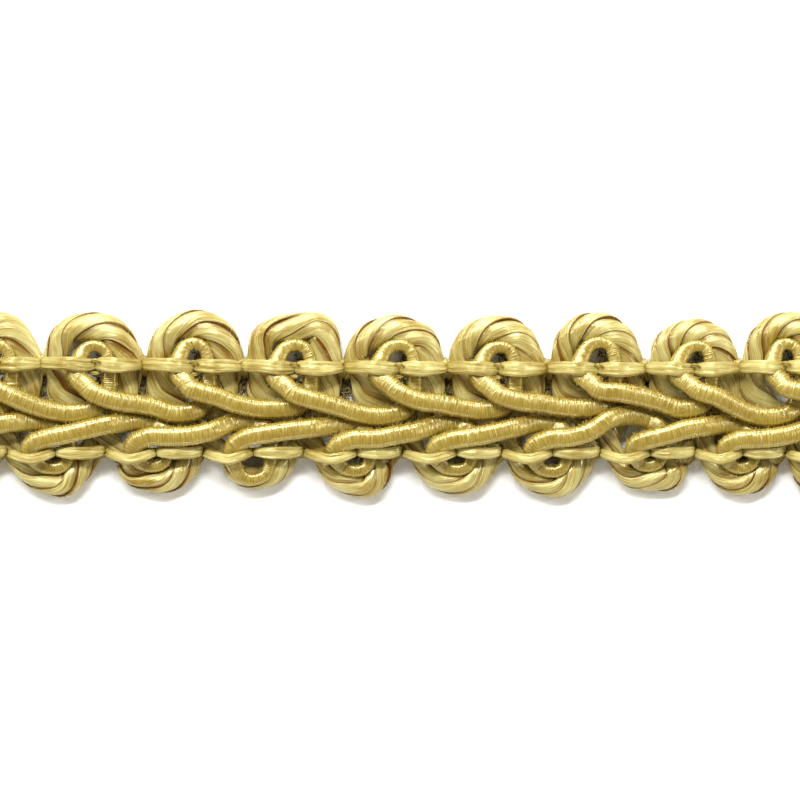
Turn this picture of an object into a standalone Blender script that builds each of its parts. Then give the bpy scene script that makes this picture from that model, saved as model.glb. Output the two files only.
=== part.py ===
import math
from collections import namedtuple

import bmesh
import bpy
from mathutils import Vector

# Sizes below are in millimetres, with X along the trim, Y across it and Z up from the surface it lies on.
MM = 0.001

# Gimp cord: a core under a tight transverse wrapping, a little flattened where it crosses itself
GIMP_HALF_WIDTH = 0.64
GIMP_HALF_HEIGHT = 0.54
GIMP_PARTING = 0.08
GIMP_SIDES = 8
GIMP_MAX_STEP = 1.3
GIMP_MAX_TURN = math.radians(29)

# Scallop cord: three satin strands laid together
ROPE_HALF_WIDTH = 0.78
ROPE_STRANDS = 3
ROPE_LAY = 6.9
ROPE_STEP = 0.62
ROPE_RIDGE = 1.07
ROPE_VALLEY = 0.86

# Chain stitches: flat satin threads, the front one over every cord and the back one under them
FRONT_HALF_WIDTH = 0.38
FRONT_HALF_HEIGHT = 0.17
BACK_HALF_WIDTH = 0.34
BACK_HEIGHT = 0.30
BACK_HUMP = 0.20
BACK_HUMP_REACH = 0.50

# Outlines of the two chain threads' sections, in shares of the half width and of the height
FRONT_SECTION = [(1, 0), (0.55, 1), (-0.55, 1), (-1, 0), (-0.55, -1), (0.55, -1)]
BACK_SECTION = [(1, 0), (0.7, 1), (-0.7, 1), (-1, 0)]

# Where the chain lines are cut, the least step from a cut to the next section, the front thread's height
# at a cut, and the common distance from an eye to the gap beside it
LEFT_END = -32.4
RIGHT_END = 32.6
UPPER_CHAIN_END = 30.5
MIN_END_STEP = 0.2
FRONT_END_Z = 1.60
HALF_PITCH = 3.45

# Where the gimp cords are cut, in rows of the first and of the last run
UPPER_FIRST_ROW = 3
UPPER_LAST_ROW = 5
LOWER_FIRST_ROW = 0
LOWER_LAST_ROW = 3

# A loop of a gimp cord: the eye's x, the height of its crown, the reach of its two sides, and the heights
# of the run that follows, at fifths of the way to the next eye
Loop = namedtuple("Loop", "x crown left right y0 y1 y2 y3 y4 y5")

UPPER_LOOPS = [
    Loop(-35.70, 4.13, 1.40, 1.05, 0.80, 0.35, 0.00, -0.35, -0.60, -0.45),
    Loop(-28.80, 4.13, 1.40, 1.05, 1.05, 0.39, -0.18, -0.56, -0.67, -0.38),
    Loop(-21.92, 4.06, 1.33, 1.05, 0.74, 0.21, 0.00, -0.25, -0.68, -0.53),
    Loop(-14.97, 4.24, 1.20, 1.05, 0.95, 0.53, 0.02, -0.32, -0.38, -0.20),
    Loop(-7.81, 4.13, 1.60, 1.05, 0.63, 0.18, -0.22, -0.68, -0.88, -0.66),
    Loop(-0.55, 4.13, 1.65, 1.05, 0.67, 0.18, 0.00, -0.30, -0.49, -0.32),
    Loop(6.50, 3.99, 1.60, 1.05, 0.56, 0.14, 0.00, -0.24, -0.34, -0.18),
    Loop(13.50, 4.30, 1.60, 1.05, 0.91, 0.77, 0.49, 0.11, -0.36, -0.22),
    Loop(20.34, 4.06, 1.60, 0.92, 0.88, 0.46, -0.20, -0.75, -0.93, -0.72),
    Loop(26.53, 4.20, 1.10, 1.05, 1.08, 0.74, 0.32, -0.10, -0.50, -0.45),
    Loop(33.40, 4.13, 1.40, 1.05, 0.80, 0.35, 0.00, -0.35, -0.60, -0.45),
]

LOWER_LOOPS = [
    Loop(-31.68, -4.50, 1.50, 1.02, -2.31, -1.96, -1.50, -1.25, -1.25, -1.40),
    Loop(-24.77, -4.52, 1.72, 1.02, -2.28, -2.00, -1.65, -1.37, -1.21, -1.32),
    Loop(-17.82, -4.38, 1.44, 1.02, -2.24, -2.27, -2.17, -1.86, -1.32, -1.19),
    Loop(-10.85, -5.29, 1.50, 1.25, -2.24, -2.01, -1.80, -1.65, -1.50, -1.45),
    Loop(-3.54, -4.69, 1.66, 0.92, -2.42, -2.40, -2.14, -1.89, -1.44, -1.33),
    Loop(3.49, -4.62, 1.68, 1.02, -2.42, -2.23, -1.96, -1.65, -1.40, -1.44),
    Loop(10.19, -4.76, 1.54, 0.96, -2.38, -2.28, -1.86, -1.00, -0.80, -1.12),
    Loop(16.88, -4.34, 1.10, 1.02, -2.45, -2.14, -1.75, -1.56, -1.44, -1.60),
    Loop(23.40, -4.48, 1.25, 0.94, -2.46, -2.40, -2.26, -1.96, -1.42, -1.37),
    Loop(29.93, -4.48, 1.45, 0.90, -2.31, -2.03, -1.75, -1.50, -1.30, -1.30),
    Loop(36.80, -4.50, 1.50, 1.02, -2.31, -1.96, -1.50, -1.25, -1.25, -1.40),
]

# The form of every loop: reach in shares of its side (right positive), rise in shares of the way to the
# crown (from the tail on the right, from the run ahead on the left), height above the surface, and the
# cord's width in shares of the full one
Turn = namedtuple("Turn", "reach rise z wide")

LOOP_TURNS = [
    Turn(0.56, 0.09, 1.14, 0.92),
    Turn(0.90, 0.28, 1.16, 0.82),
    Turn(1.00, 0.50, 1.40, 0.70),
    Turn(1.00, 0.72, 1.44, 0.68),
    Turn(0.72, 0.92, 1.54, 0.62),
    Turn(0.04, 1.00, 1.62, 0.60),
    Turn(-0.52, 0.94, 1.68, 0.64),
    Turn(-0.90, 0.70, 1.80, 0.76),
    Turn(-1.00, 0.44, 1.90, 0.90),
    Turn(-0.80, 0.21, 2.10, 0.98),
    Turn(-0.40, 0.07, 2.32, 1.00),
]

# Height of the run's centre above the surface, at fifths of the way to the next eye
UPPER_RUN_Z = [2.46, 2.48, 2.20, 1.92, 1.74, 1.52]
LOWER_RUN_Z = [2.44, 2.46, 2.36, 2.12, 1.35, 0.95]
LOOP_ROWS = len(UPPER_RUN_Z) + len(LOOP_TURNS)

# A scallop of the satin cord's centre line: its middle, its half width, its outermost reach, and the
# half height and the height above the surface of the cord there
Scallop = namedtuple("Scallop", "x half reach thick z")

UPPER_SCALLOPS = [
    Scallop(-29.00, 2.45, 5.70, 0.62, 0.72),
    Scallop(-22.00, 2.53, 5.64, 0.62, 0.72),
    Scallop(-14.86, 2.50, 5.85, 0.62, 0.72),
    Scallop(-7.95, 2.42, 5.78, 0.62, 0.72),
    Scallop(-0.95, 2.52, 5.46, 0.62, 0.72),
    Scallop(6.13, 2.40, 5.39, 0.62, 0.72),
    Scallop(13.27, 2.31, 5.70, 0.62, 0.72),
    Scallop(20.04, 2.17, 5.20, 0.62, 0.72),
    Scallop(26.64, 2.25, 5.70, 0.62, 0.72),
]

LOWER_SCALLOPS = [
    Scallop(-31.68, 2.40, -5.60, 0.62, 0.72),
    Scallop(-24.78, 2.38, -5.70, 0.62, 0.72),
    Scallop(-17.43, 2.24, -5.46, 0.62, 0.72),
    Scallop(-10.47, 2.20, -4.88, 0.27, 0.56),
    Scallop(-3.68, 2.10, -5.81, 0.62, 0.72),
    Scallop(3.43, 2.31, -5.50, 0.62, 0.72),
    Scallop(10.05, 2.24, -5.85, 0.62, 0.72),
    Scallop(16.94, 2.10, -5.30, 0.62, 0.72),
    Scallop(23.38, 2.03, -5.53, 0.62, 0.72),
    Scallop(29.70, 2.10, -5.60, 0.62, 0.72),
]

# The feet of the scallops, the steps of an arc between two feet, the steps at which the cord is cut, and
# how early along an arc the cord reaches its full thickness and width
UPPER_SCALLOP_FOOT = 3.29
LOWER_SCALLOP_FOOT = -3.66
ARC_STEPS = 5
FIRST_ARC_STEP = 2
LAST_ARC_STEP = 4
ARC_THICKENS = 1.3
ARC_WIDENS = 1.6

# The satin cord's legs between the two rows of scallops, from the upper eye's x: they cross, flattened
Leg = namedtuple("Leg", "dx y z wide thick")

RISING_LEG = [
    Leg(0.55, -1.95, 0.34, 0.85, 0.21),
    Leg(1.70, -0.10, 0.38, 0.90, 0.25),
    Leg(2.30, 1.25, 0.45, 0.86, 0.27),
]
FALLING_LEG = [
    Leg(-2.15, 1.20, 0.45, 0.86, 0.27),
    Leg(-1.30, 0.10, 0.36, 0.90, 0.24),
    Leg(-0.40, -0.95, 0.50, 0.86, 0.22),
    Leg(0.35, -1.75, 1.06, 0.82, 0.20),
]
FOOT_Z = 0.86
FOOT_WIDE = 0.78
FOOT_THICK = 0.26
FOOT_SPREAD = 0.12
UPPER_FOOT_TURN = 2.10
LOWER_FOOT_TURN = -2.98

# Heights of the chain lines across the trim, at the left and the right end
UPPER_CHAIN_Y = (2.92, 2.45)
LOWER_CHAIN_Y = (-3.66, -3.66)

# The front thread between pinches: the share of the way from one pinch to the next, its height above the
# surface and its width in shares of the full one, to the right of an eye and to the left of the next
Bar = namedtuple("Bar", "share z wide")

FRONT_RIGHT_OF_EYE = [
    Bar(0.00, 1.75, 0.40),
    Bar(0.12, 2.30, 0.80),
    Bar(0.24, 2.44, 1.00),
    Bar(0.44, 2.42, 1.00),
    Bar(0.75, 1.85, 1.00),
    Bar(0.90, 1.60, 0.90),
    Bar(1.00, 1.42, 0.45),
]
FRONT_LEFT_OF_EYE = [
    Bar(0.10, 1.70, 0.90),
    Bar(0.28, 2.30, 1.00),
    Bar(0.44, 2.80, 1.00),
    Bar(0.64, 2.88, 1.00),
    Bar(0.84, 2.86, 0.90),
    Bar(0.94, 2.40, 0.60),
]

# Colour and roughness of the yarns
GIMP_LOOK = ((0.60, 0.46, 0.17), 0.42)
SATIN_LOOK = ((0.66, 0.52, 0.21), 0.32)
CHAIN_LOOK = ((0.68, 0.54, 0.24), 0.34)


def between(start, end, share):
    return start + (end - start) * share


# A smooth curve through control rows of x, y, z, half width and half height, as many close samples
def smooth_route(controls, samples=12):
    rows = [controls[0]] + controls + [controls[-1]]
    route = []
    for before, start, end, after in zip(rows, rows[1:], rows[2:], rows[3:]):
        for k in range(samples):
            t = k / samples
            route.append(tuple(
                0.5 * (2 * b + (c - a) * t + (2 * a - 5 * b + 4 * c - d) * t ** 2
                       + (3 * b - a - 3 * c + d) * t ** 3)
                for a, b, c, d in zip(before, start, end, after)
            ))
    route.append(tuple(controls[-1]))
    return route


# The samples that a section is set on: one after each step along the route, or sooner after a sharp turn
def stations(route, step, turn):
    kept = [0]
    travelled = 0.0
    heading = Vector(route[1][:3]) - Vector(route[0][:3])
    for k in range(1, len(route) - 1):
        travelled += (Vector(route[k][:3]) - Vector(route[k - 1][:3])).length
        ahead = Vector(route[k + 1][:3]) - Vector(route[k][:3])
        if travelled >= step or heading.angle(ahead) >= turn:
            kept.append(k)
            travelled = 0.0
            heading = ahead
    if (Vector(route[-1][:3]) - Vector(route[kept[-1]][:3])).length < step / 2:
        kept.pop()
    return kept + [len(route) - 1]


# Directions across and above the route at one sample, both square to its heading
def section_axes(route, k):
    heading = (Vector(route[min(k + 1, len(route) - 1)][:3]) - Vector(route[max(k - 1, 0)][:3])).normalized()
    side = Vector((-heading.y, heading.x, 0)).normalized()
    return side, heading.cross(side) * -1


# A closed solid through rings of points, with a flat cap on each end
def loft(name, rings, look):
    mesh = bpy.data.meshes.new(name)
    bm = bmesh.new()
    loops = [[bm.verts.new(Vector(point) * MM) for point in ring] for ring in rings]
    for near, far in zip(loops, loops[1:]):
        for k in range(len(near)):
            j = (k + 1) % len(near)
            bm.faces.new((near[k], near[j], far[j], far[k]))
    bm.faces.new(list(reversed(loops[0])))
    bm.faces.new(loops[-1])
    bmesh.ops.recalc_face_normals(bm, faces=bm.faces)
    bmesh.ops.triangulate(bm, faces=bm.faces)
    bm.to_mesh(mesh)
    bm.free()
    mesh.shade_smooth()
    piece = bpy.data.objects.new(name, mesh)
    bpy.context.scene.collection.objects.link(piece)
    colour, roughness = look
    material = bpy.data.materials.new(name)
    material.use_nodes = True
    shader = material.node_tree.nodes["Principled BSDF"]
    shader.inputs["Base Color"].default_value = (*colour, 1)
    shader.inputs["Roughness"].default_value = roughness
    shader.inputs["Metallic"].default_value = 0
    mesh.materials.append(material)
    return piece


# The crossing loops of one gimp cord: each run to the next eye, then the turns around that eye
def gimp_controls(loops, run_z, parting):
    controls = []
    for here, after in zip(loops, loops[1:]):
        heights = (here.y0, here.y1, here.y2, here.y3, here.y4, here.y5)
        for k, (y, z) in enumerate(zip(heights, run_z)):
            x = between(here.x, after.x, k / (len(run_z) - 1))
            controls.append((x, y + parting, z, GIMP_HALF_WIDTH, GIMP_HALF_HEIGHT))
        for turn in LOOP_TURNS:
            reach, base = (after.right, here.y5) if turn.reach > 0 else (after.left, after.y0)
            x = after.x + turn.reach * reach
            y = between(base + parting, after.crown, turn.rise)
            controls.append((x, y, turn.z, turn.wide * GIMP_HALF_WIDTH, GIMP_HALF_HEIGHT))
    return controls


def add_gimp(name, loops, run_z, parting, first_row, last_row):
    last_run = LOOP_ROWS * (len(loops) - 2)
    route = smooth_route(gimp_controls(loops, run_z, parting)[first_row:last_run + last_row])
    rings = []
    for k in stations(route, GIMP_MAX_STEP, GIMP_MAX_TURN):
        x, y, z, wide, thick = route[k]
        side, above = section_axes(route, k)
        ring = []
        for corner in range(GIMP_SIDES):
            angle = math.tau * (corner + 0.5) / GIMP_SIDES
            ring.append(Vector((x, y, z)) + side * wide * math.cos(angle) + above * thick * math.sin(angle))
        rings.append(ring)
    return loft(name, rings, GIMP_LOOK)


# Half an ellipse of the satin cord's centre line, from one foot of a scallop to the other
def scallop_arc(scallop, foot, turn_left, first_step=0, last_step=ARC_STEPS):
    points = []
    for k in range(first_step, last_step + 1):
        angle = math.pi * k / ARC_STEPS
        across = math.cos(angle) if turn_left else -math.cos(angle)
        out = math.sin(angle)
        points.append((
            scallop.x + scallop.half * across,
            foot + (scallop.reach - foot) * out,
            between(FOOT_Z, scallop.z, min(1, out * ARC_THICKENS)),
            between(FOOT_WIDE, 1.0, min(1, out * ARC_WIDENS)),
            between(FOOT_THICK, scallop.thick, min(1, out * ARC_THICKENS)),
        ))
    return points


def leg_controls(legs, eye_x):
    return [(eye_x + leg.dx, leg.y, leg.z, leg.wide, leg.thick) for leg in legs]


def foot_turn(x, y):
    return [(x, y, FOOT_Z, FOOT_WIDE, FOOT_THICK)]


def add_scallop_cord():
    controls = scallop_arc(LOWER_SCALLOPS[0], LOWER_SCALLOP_FOOT, False, first_step=FIRST_ARC_STEP)
    crossings = zip(LOWER_SCALLOPS, UPPER_SCALLOPS, LOWER_SCALLOPS[1:], UPPER_LOOPS[1:])
    for before, upper, after, loop in crossings:
        last_step = LAST_ARC_STEP if after is LOWER_SCALLOPS[-1] else ARC_STEPS
        controls += foot_turn(before.x + before.half + FOOT_SPREAD, LOWER_FOOT_TURN)
        controls += leg_controls(RISING_LEG, loop.x)
        controls += foot_turn(upper.x + upper.half + FOOT_SPREAD, UPPER_FOOT_TURN)
        controls += scallop_arc(upper, UPPER_SCALLOP_FOOT, True)
        controls += foot_turn(upper.x - upper.half, UPPER_FOOT_TURN)
        controls += leg_controls(FALLING_LEG, loop.x)
        controls += foot_turn(after.x - after.half, LOWER_FOOT_TURN)
        controls += scallop_arc(after, LOWER_SCALLOP_FOOT, False, last_step=last_step)
    route = smooth_route([(x, y, z, w * ROPE_HALF_WIDTH, h) for x, y, z, w, h in controls])
    rings = []
    travelled = 0.0
    before = route[0]
    corners = 2 * ROPE_STRANDS
    for k in stations(route, ROPE_STEP, math.pi):
        x, y, z, wide, thick = route[k]
        travelled += (Vector(route[k][:3]) - Vector(before[:3])).length
        before = route[k]
        side, above = section_axes(route, k)
        ring = []
        for corner in range(corners):
            angle = math.tau * (corner / corners + travelled / ROPE_LAY)
            bulge = ROPE_VALLEY if corner % 2 else ROPE_RIDGE
            ring.append(
                Vector((x, y, z))
                + side * wide * bulge * math.cos(angle)
                + above * thick * bulge * math.sin(angle)
            )
        rings.append(ring)
    return loft("scallop_cord", rings, SATIN_LOOK)


# The pinches of a chain line: one in every eye and one in the gap between every two scallops
def pinches(loops, scallops):
    eyes = [loop.x for loop in loops[1:-1]]
    gaps = [(a.x + b.x) / 2 for a, b in zip(scallops, scallops[1:])]
    return eyes, gaps


def chain_height(x, ends):
    return between(ends[0], ends[1], (x - LEFT_END) / (RIGHT_END - LEFT_END))


# The flat front thread: it rides over both sides of an eye and dips into each pinch
def add_front_thread(name, eyes, gaps, ends, left_end, right_end):
    rows = []
    for eye in eyes:
        before = max((gap for gap in gaps if gap < eye), default=eye - HALF_PITCH)
        after = min((gap for gap in gaps if gap > eye), default=eye + HALF_PITCH)
        rows += [(between(before, eye, bar.share), bar.z, bar.wide) for bar in FRONT_LEFT_OF_EYE]
        rows += [(between(eye, after, bar.share), bar.z, bar.wide) for bar in FRONT_RIGHT_OF_EYE]
    rows = [row for row in rows if left_end + MIN_END_STEP < row[0] < right_end - MIN_END_STEP]
    rows = [(left_end, FRONT_END_Z, 1.0)] + rows + [(right_end, FRONT_END_Z, 1.0)]
    rings = []
    for x, z, wide in rows:
        y = chain_height(x, ends)
        ring = []
        for across, above in FRONT_SECTION:
            ring.append((x, y + across * wide * FRONT_HALF_WIDTH, z + above * FRONT_HALF_HEIGHT))
        rings.append(ring)
    return loft(name, rings, CHAIN_LOOK)


# The flat back thread: its bars lie on the surface and it humps a little at each pinch
def add_back_thread(name, eyes, gaps, ends, left_end, right_end):
    rows = [(left_end, 0.0)]
    for pinch in sorted(eyes + gaps):
        if left_end + MIN_END_STEP < pinch - BACK_HUMP_REACH and pinch + BACK_HUMP_REACH < right_end:
            rows += [(pinch - BACK_HUMP_REACH, 0.0), (pinch, BACK_HUMP), (pinch + BACK_HUMP_REACH, 0.0)]
    rows.append((right_end, 0.0))
    rings = []
    for x, lift in rows:
        y = chain_height(x, ends)
        ring = []
        for across, above in BACK_SECTION:
            ring.append((x, y + across * BACK_HALF_WIDTH, lift + above * BACK_HEIGHT))
        rings.append(ring)
    return loft(name, rings, CHAIN_LOOK)


# Moves every piece so that the middle of the underside of the whole trim is the origin
def centre_on_origin(pieces):
    points = [vertex.co for piece in pieces for vertex in piece.data.vertices]
    low = [min(point[axis] for point in points) for axis in range(3)]
    high = [max(point[axis] for point in points) for axis in range(3)]
    shift = Vector(((low[0] + high[0]) / -2, (low[1] + high[1]) / -2, -low[2]))
    for piece in pieces:
        for vertex in piece.data.vertices:
            vertex.co += shift
    print("shift in mm:", [round(value / MM, 4) for value in shift])


def build():
    for leftover in list(bpy.data.objects):
        bpy.data.objects.remove(leftover)
    upper_pinches = pinches(UPPER_LOOPS, UPPER_SCALLOPS)
    lower_pinches = pinches(LOWER_LOOPS, LOWER_SCALLOPS)
    centre_on_origin([
        add_gimp("gimp_cord_upper", UPPER_LOOPS, UPPER_RUN_Z, GIMP_PARTING, UPPER_FIRST_ROW, UPPER_LAST_ROW),
        add_gimp("gimp_cord_lower", LOWER_LOOPS, LOWER_RUN_Z, -GIMP_PARTING, LOWER_FIRST_ROW, LOWER_LAST_ROW),
        add_scallop_cord(),
        add_front_thread("chain_upper_front", *upper_pinches, UPPER_CHAIN_Y, LEFT_END, UPPER_CHAIN_END),
        add_back_thread("chain_upper_back", *upper_pinches, UPPER_CHAIN_Y, LEFT_END, UPPER_CHAIN_END),
        add_front_thread("chain_lower_front", *lower_pinches, LOWER_CHAIN_Y, LEFT_END, RIGHT_END),
        add_back_thread("chain_lower_back", *lower_pinches, LOWER_CHAIN_Y, LEFT_END, RIGHT_END),
    ])


build()
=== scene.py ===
import math

import bmesh
import bpy
import numpy as np
from mathutils import Matrix, Vector
from mathutils.bvhtree import BVHTree


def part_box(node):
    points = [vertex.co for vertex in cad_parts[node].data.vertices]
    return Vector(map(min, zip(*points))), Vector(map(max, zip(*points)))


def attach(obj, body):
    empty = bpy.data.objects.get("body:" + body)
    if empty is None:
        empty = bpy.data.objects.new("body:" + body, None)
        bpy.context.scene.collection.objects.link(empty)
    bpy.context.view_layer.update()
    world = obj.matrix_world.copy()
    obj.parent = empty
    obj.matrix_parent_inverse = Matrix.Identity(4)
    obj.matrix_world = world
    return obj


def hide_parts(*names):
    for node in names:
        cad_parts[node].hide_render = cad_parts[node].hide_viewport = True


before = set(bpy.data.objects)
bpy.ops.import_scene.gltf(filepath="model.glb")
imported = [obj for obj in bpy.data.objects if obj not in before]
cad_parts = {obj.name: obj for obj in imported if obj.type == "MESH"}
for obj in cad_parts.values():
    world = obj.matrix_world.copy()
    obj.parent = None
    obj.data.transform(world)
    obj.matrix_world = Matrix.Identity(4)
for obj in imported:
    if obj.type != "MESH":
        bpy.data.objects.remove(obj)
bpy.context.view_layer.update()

# Lengths below are in millimetres unless a note says otherwise. Places read off the photograph are pixels of
# its 800 x 800 frame, and the trim lies flat under the camera, so one pixel is always the same length.
mm = 0.001
pixel = 0.07
photoMiddle = (407.5, 404.0)
leastHeight = 0.01           # nothing goes lower than this over the surface

# The lower front thread's left end and middle line tie the photograph's frame to the CAD's
leftEnd = -32.4
lowerThreadY = -3.66
lowCorner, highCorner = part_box("chain_lower_front")
shiftX = lowCorner.x / mm - leftEnd
shiftY = (lowCorner.y + highCorner.y) / 2 / mm - lowerThreadY


def fromPhoto(x, y):
    return (x - photoMiddle[0]) * pixel, (photoMiddle[1] - y) * pixel


# Camera, floor and light

studio = {
    "lens": 300.0,
    "sensor": 36.0,
    "frameWide": 56.0,         # mm of trim across the picture
    "focusHeight": 1.6,
    "floorSize": 6.0,          # m
    "floorColour": (0.98, 0.985, 0.99),
    "zenith": 0.12,
    "horizon": 0.85,
    "roomColour": (1.0, 0.93, 0.80, 1),
    "lightDistance": 2.0,      # m
    # name, azimuth from +Y towards +X, elevation, height and width in degrees, brightness
    "strips": [
        ("low_window", -6, 27, 2.5, 36, 52.0),
        ("high_window", -12, 56, 6, 36, 36.0),
        ("west_window", -66, 40, 22, 9, 9.0),
        ("east_window", 76, 38, 18, 7, 11.0),
        ("south_window", 172, 36, 3, 44, 9.0),
    ],
}


def addCamera():
    centreX, centreY = fromPhoto(400, 400)
    away = studio["frameWide"] * studio["lens"] / studio["sensor"] + studio["focusHeight"]
    data = bpy.data.cameras.new("camera")
    data.lens = studio["lens"]
    data.sensor_width = studio["sensor"]
    data.clip_start = 0.01
    camera = bpy.data.objects.new("camera", data)
    bpy.context.scene.collection.objects.link(camera)
    camera.location = ((centreX + shiftX) * mm, (centreY + shiftY) * mm, away * mm)
    bpy.context.scene.camera = camera


def addStrip(name, azimuth, elevation, tall, wide, brightness):
    far = studio["lightDistance"]
    data = bpy.data.lights.new(name, "AREA")
    data.shape = "RECTANGLE"
    data.size = 2 * far * math.tan(math.radians(wide) / 2)
    data.size_y = 2 * far * math.tan(math.radians(tall) / 2)
    data.energy = brightness * math.pi * data.size * data.size_y
    lamp = bpy.data.objects.new(name, data)
    bpy.context.scene.collection.objects.link(lamp)
    turn, rise = math.radians(azimuth), math.radians(elevation)
    place = Vector((math.sin(turn) * math.cos(rise), math.cos(turn) * math.cos(rise), math.sin(rise))) * far
    lamp.location = place
    lamp.rotation_euler = (-place).to_track_quat("-Z", "Y").to_euler()


def addStudio():
    scene = bpy.context.scene
    scene.view_settings.view_transform = "Standard"
    scene.view_settings.look = "Medium High Contrast"
    world = bpy.data.worlds.new("studio")
    world.use_nodes = True
    tree = world.node_tree
    height = tree.nodes.new("ShaderNodeSeparateXYZ")
    fade = tree.nodes.new("ShaderNodeMapRange")
    fade.inputs["To Min"].default_value = studio["horizon"]
    fade.inputs["To Max"].default_value = studio["zenith"]
    tree.links.new(tree.nodes.new("ShaderNodeTexCoord").outputs["Generated"], height.inputs[0])
    tree.links.new(height.outputs[2], fade.inputs["Value"])
    tree.links.new(fade.outputs[0], tree.nodes["Background"].inputs["Strength"])
    tree.nodes["Background"].inputs["Color"].default_value = studio["roomColour"]
    scene.world = world
    for strip in studio["strips"]:
        addStrip(*strip)
    bm = bmesh.new()
    bmesh.ops.create_grid(bm, x_segments=1, y_segments=1, size=studio["floorSize"] / 2)
    mesh = bpy.data.meshes.new("floor")
    bm.to_mesh(mesh)
    bm.free()
    floor = bpy.data.objects.new("floor", mesh)
    scene.collection.objects.link(floor)
    paint = bpy.data.materials.new("floor_paper")
    paint.use_nodes = True
    shader = paint.node_tree.nodes["Principled BSDF"]
    shader.inputs["Base Color"].default_value = (*studio["floorColour"], 1)
    shader.inputs["Roughness"].default_value = 0.9
    shader.inputs["Specular IOR Level"].default_value = 0.1
    mesh.materials.append(paint)


addCamera()
addStudio()
print("camera, floor and light are set")


# Routes: smooth curves through given rows of x, y, z and whatever else changes along a yarn

def layRoute(rows, samples=14):
    rows = np.array(rows, float)
    rows = np.vstack([rows[:1], rows, rows[-1:]])
    before, start, end, after = rows[:-3, None], rows[1:-2, None], rows[2:-1, None], rows[3:, None]
    t = (np.arange(samples) / samples)[None, :, None]
    line = 0.5 * (
        2 * start + (end - before) * t + (2 * before - 5 * start + 4 * end - after) * t ** 2
        + (3 * start - before - 3 * end + after) * t ** 3
    )
    line = np.vstack([line.reshape(-1, rows.shape[1]), rows[-1:]])
    run = np.concatenate([[0], np.cumsum(np.linalg.norm(np.diff(line[:, :3], axis=0), axis=1))])
    return run, line


def alongRoute(route, wanted):
    run, line = route
    return np.stack([np.interp(wanted, run, column) for column in line.T], axis=-1)


# Heading, side (left of the heading, level) and up at points along a route
def routeAxes(route, wanted, reach=0.06):
    heading = alongRoute(route, wanted + reach)[:, :3] - alongRoute(route, wanted - reach)[:, :3]
    heading /= np.linalg.norm(heading, axis=1, keepdims=True)
    side = np.stack([-heading[:, 1], heading[:, 0], np.zeros(len(heading))], axis=-1)
    side /= np.linalg.norm(side, axis=1, keepdims=True)
    return heading, side, np.cross(heading, side)


def squared(value, power):
    return np.sign(value) * np.abs(value) ** power


# Rolls a flat grid into a tube and adds it to a bmesh. The place function gets each corner's ring number and
# its turn round the yarn (0 to 1), and gives its place in mm. The UV map runs along by alongScale, round by 1.
def rollTube(bm, rings, sides, place, alongScale, crease=None):
    sheet = bmesh.new()
    sheet.loops.layers.uv.new("UVMap")
    bmesh.ops.create_grid(sheet, x_segments=rings, y_segments=sides, size=0.5, calc_uvs=True)
    flat = bpy.data.meshes.new("sheet")
    sheet.to_mesh(flat)
    sheet.free()
    spots = np.empty(len(flat.vertices) * 3)
    flat.vertices.foreach_get("co", spots)
    spots = spots.reshape(-1, 3) + 0.5
    ring = np.rint(spots[:, 0] * rings).astype(int)
    turn = np.rint(spots[:, 1] * sides) / sides
    world = place(ring, turn) + np.array([shiftX, shiftY, 0])
    world[:, 2] = np.maximum(world[:, 2], leastHeight)
    world *= mm
    flat.vertices.foreach_set("co", world.ravel())
    if crease is not None:
        flat.attributes.new("crease", "FLOAT", "POINT").data.foreach_set("value", crease[ring])
    uvs = np.empty(len(flat.loops) * 2)
    flat.uv_layers["UVMap"].data.foreach_get("uv", uvs)
    uvs = uvs.reshape(-1, 2) * np.array([alongScale, 1.0])
    flat.uv_layers["UVMap"].data.foreach_set("uv", uvs.ravel())
    bm.from_mesh(flat)
    bpy.data.meshes.remove(flat)


def finishPiece(name, bm, material, node):
    bmesh.ops.remove_doubles(bm, verts=bm.verts, dist=2e-7)
    bmesh.ops.holes_fill(bm, edges=[edge for edge in bm.edges if edge.is_boundary], sides=0)
    bmesh.ops.recalc_face_normals(bm, faces=bm.faces)
    mesh = bpy.data.meshes.new(name)
    bm.to_mesh(mesh)
    bm.free()
    mesh.shade_smooth()
    mesh.materials.append(material)
    piece = bpy.data.objects.new(name, mesh)
    bpy.context.scene.collection.objects.link(piece)
    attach(piece, "root")
    if node:
        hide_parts(node)
    print(name, "has", sum(len(face.vertices) - 2 for face in mesh.polygons), "triangles")
    return piece


# A wandering value: one free value between -1 and 1 for every spacing, and straight lines between them
def wander(rng, where, spacing):
    knots = np.arange(where.min() - spacing, where.max() + 2 * spacing, spacing)
    return np.interp(where, knots, rng.uniform(-1, 1, len(knots)))


# Waves of ridges round a yarn: each has its count, its start and its drift round the yarn along the run
def drawWaves(rng, counts, run, drift, spacing):
    return [(count, rng.uniform(0, math.tau), drift * wander(rng, run, spacing)) for count in counts]


def sumWaves(waves, angle, ring):
    return sum(np.sin(count * angle + start + drift[ring]) for count, start, drift in waves)


# Materials

def addNode(tree, kind, inputs=(), **settings):
    node = tree.nodes.new(kind)
    for name, value in settings.items():
        setattr(node, name, value)
    for key, value in dict(inputs).items():
        if hasattr(value, "node"):
            tree.links.new(value, node.inputs[key])
        else:
            node.inputs[key].default_value = value
    return node


def maths(tree, operation, first, second=0.0):
    return addNode(tree, "ShaderNodeMath", {0: first, 1: second}, operation=operation).outputs[0]


def blendColour(tree, share, first, second):
    node = addNode(tree, "ShaderNodeMix", data_type="RGBA")
    for key, value in ((0, share), (6, first), (7, second)):
        if hasattr(value, "node"):
            tree.links.new(value, node.inputs[key])
        else:
            node.inputs[key].default_value = value if key == 0 else (*value, 1)
    return node.outputs[2]


def noise(tree, vector, scale, detail=2.0, rough=0.5):
    inputs = {"Vector": vector, "Scale": scale, "Detail": detail, "Roughness": rough}
    return addNode(tree, "ShaderNodeTexNoise", inputs).outputs["Fac"]


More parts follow.
